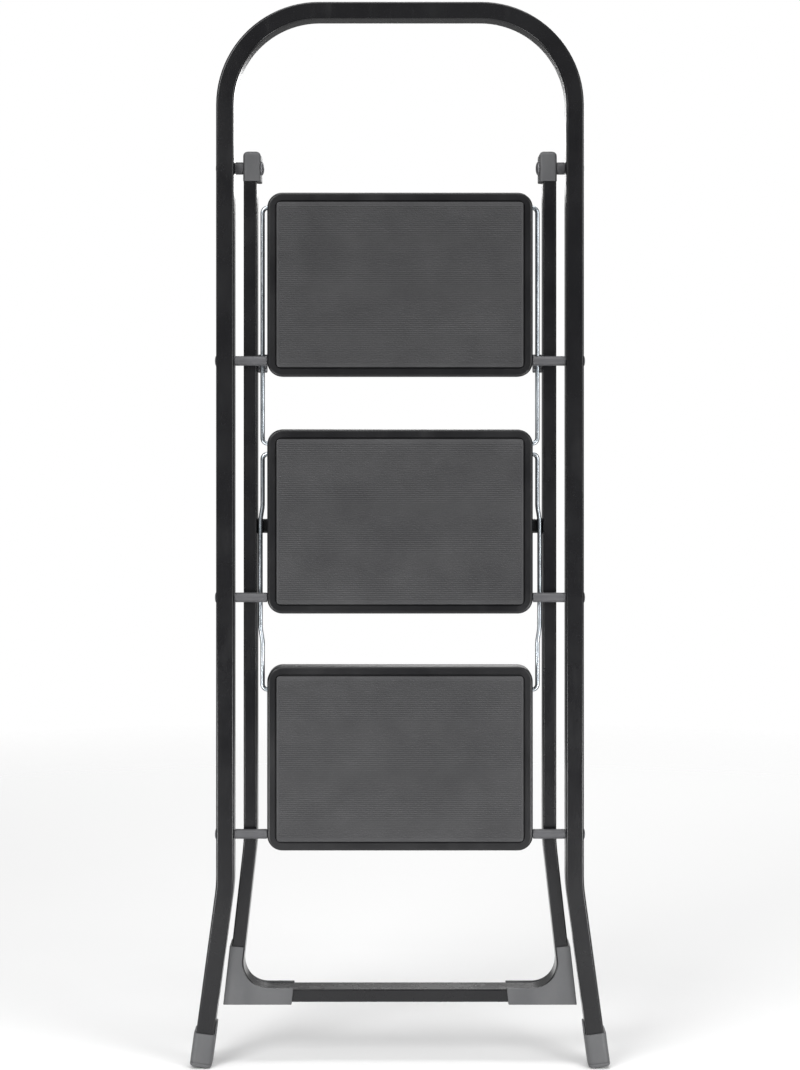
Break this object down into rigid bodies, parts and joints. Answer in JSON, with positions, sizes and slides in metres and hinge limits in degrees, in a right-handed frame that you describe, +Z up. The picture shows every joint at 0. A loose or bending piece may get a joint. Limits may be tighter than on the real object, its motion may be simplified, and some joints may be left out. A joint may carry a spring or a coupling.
{
  "type": "folding step stool",
  "caption": "Folding steel step stool with a tall hoop handle, ribbed rubber mats on its steps, wire links beside them and a swing-out rear frame.",
  "frame": {"origin": "middle of the folded stool's outline at the floor that its front feet stand on", "axes": "+Z up, -Y towards the front where the mats face, +X to the right as seen from the front"},
  "size_m": [0.4756, 0.05, 1.203],
  "materials": {
    "frame_paint": "gloss black powder coat",
    "step_paint": "semi-gloss black powder coat",
    "mat_rubber": "matt, fine cross ribs",
    "grey_plastic": "satin moulded grey",
    "spacer_plastic": "satin dark grey",
    "zinc_wire": "bright zinc",
    "rivet_steel": "zinc plated"
  },
  "bodies": {
    "front_frame": {"front_frame_tube": "frame_paint", "front_boot_left": "grey_plastic", "front_boot_right": "grey_plastic", "pivot_rivet_left": "rivet_steel", "pivot_rivet_right": "rivet_steel", "pivot_spacer_left": "spacer_plastic", "pivot_spacer_right": "spacer_plastic", "step_axle_top": "rivet_steel", "step_axle_middle": "rivet_steel", "step_axle_bottom": "rivet_steel", "step_spacer_top_left": "spacer_plastic", "step_spacer_top_right": "spacer_plastic", "step_spacer_middle_left": "spacer_plastic", "step_spacer_middle_right": "spacer_plastic", "step_spacer_bottom_left": "spacer_plastic", "step_spacer_bottom_right": "spacer_plastic"},
    "rear_frame": {"rear_frame_tube": "frame_paint", "rear_crossbar": "frame_paint", "rear_cap_left": "grey_plastic", "rear_cap_right": "grey_plastic", "rear_corner_foot_left": "grey_plastic", "rear_corner_foot_right": "grey_plastic", "lock_catch_left": "rivet_steel", "lock_catch_right": "rivet_steel"},
    "step_top": {"step_pan_top": "step_paint", "step_mat_top": "mat_rubber"},
    "step_middle": {"step_pan_middle": "step_paint", "step_mat_middle": "mat_rubber"},
    "step_bottom": {"step_pan_bottom": "step_paint", "step_mat_bottom": "mat_rubber"},
    "upper_link_left": {"upper_link_left": "zinc_wire"},
    "upper_link_right": {"upper_link_right": "zinc_wire"},
    "lower_link_left": {"lower_link_left": "zinc_wire"},
    "lower_link_right": {"lower_link_right": "zinc_wire"}
  },
  "joints": [
    {"name": "rear_frame_fold", "type": "hinge", "parent": "front_frame", "child": "rear_frame", "pos_m": [0, -0.00175, 1.017], "axis": [1, 0, 0], "range_deg": [0, 43]},
    {"name": "top_step_fold", "type": "hinge", "parent": "front_frame", "child": "step_top", "pos_m": [0, -0.01375, 0.798], "axis": [-1, 0, 0], "range_deg": [0, 63.2]},
    {"name": "middle_step_fold", "type": "hinge", "parent": "front_frame", "child": "step_middle", "pos_m": [0, -0.01375, 0.5305], "axis": [-1, 0, 0], "range_deg": [0, 63.2]},
    {"name": "bottom_step_fold", "type": "hinge", "parent": "front_frame", "child": "step_bottom", "pos_m": [0, -0.01375, 0.263], "axis": [-1, 0, 0], "range_deg": [0, 63.2]},
    {"name": "upper_link_left_turn", "type": "hinge", "parent": "step_top", "child": "upper_link_left", "pos_m": [-0.1475, -0.00425, 0.972], "axis": [1, 0, 0], "range_deg": [0, 63.2]},
    {"name": "upper_link_right_turn", "type": "hinge", "parent": "step_top", "child": "upper_link_right", "pos_m": [0.1475, -0.00425, 0.972], "axis": [1, 0, 0], "range_deg": [0, 63.2]},
    {"name": "lower_link_left_turn", "type": "hinge", "parent": "step_middle", "child": "lower_link_left", "pos_m": [-0.1475, -0.00425, 0.6925], "axis": [1, 0, 0], "range_deg": [0, 63.2]},
    {"name": "lower_link_right_turn", "type": "hinge", "parent": "step_middle", "child": "lower_link_right", "pos_m": [0.1475, -0.00425, 0.6925], "axis": [1, 0, 0], "range_deg": [0, 63.2]}
  ],
  "couplings": [
    {"joint": "top_step_fold", "follows": "rear_frame_fold", "ratio": 1.4695},
    {"joint": "middle_step_fold", "follows": "rear_frame_fold", "ratio": 1.4695},
    {"joint": "bottom_step_fold", "follows": "rear_frame_fold", "ratio": 1.4695},
    {"joint": "upper_link_left_turn", "follows": "rear_frame_fold", "ratio": 1.4695},
    {"joint": "upper_link_right_turn", "follows": "rear_frame_fold", "ratio": 1.4695},
    {"joint": "lower_link_left_turn", "follows": "rear_frame_fold", "ratio": 1.4695},
    {"joint": "lower_link_right_turn", "follows": "rear_frame_fold", "ratio": 1.4695}
  ]
}
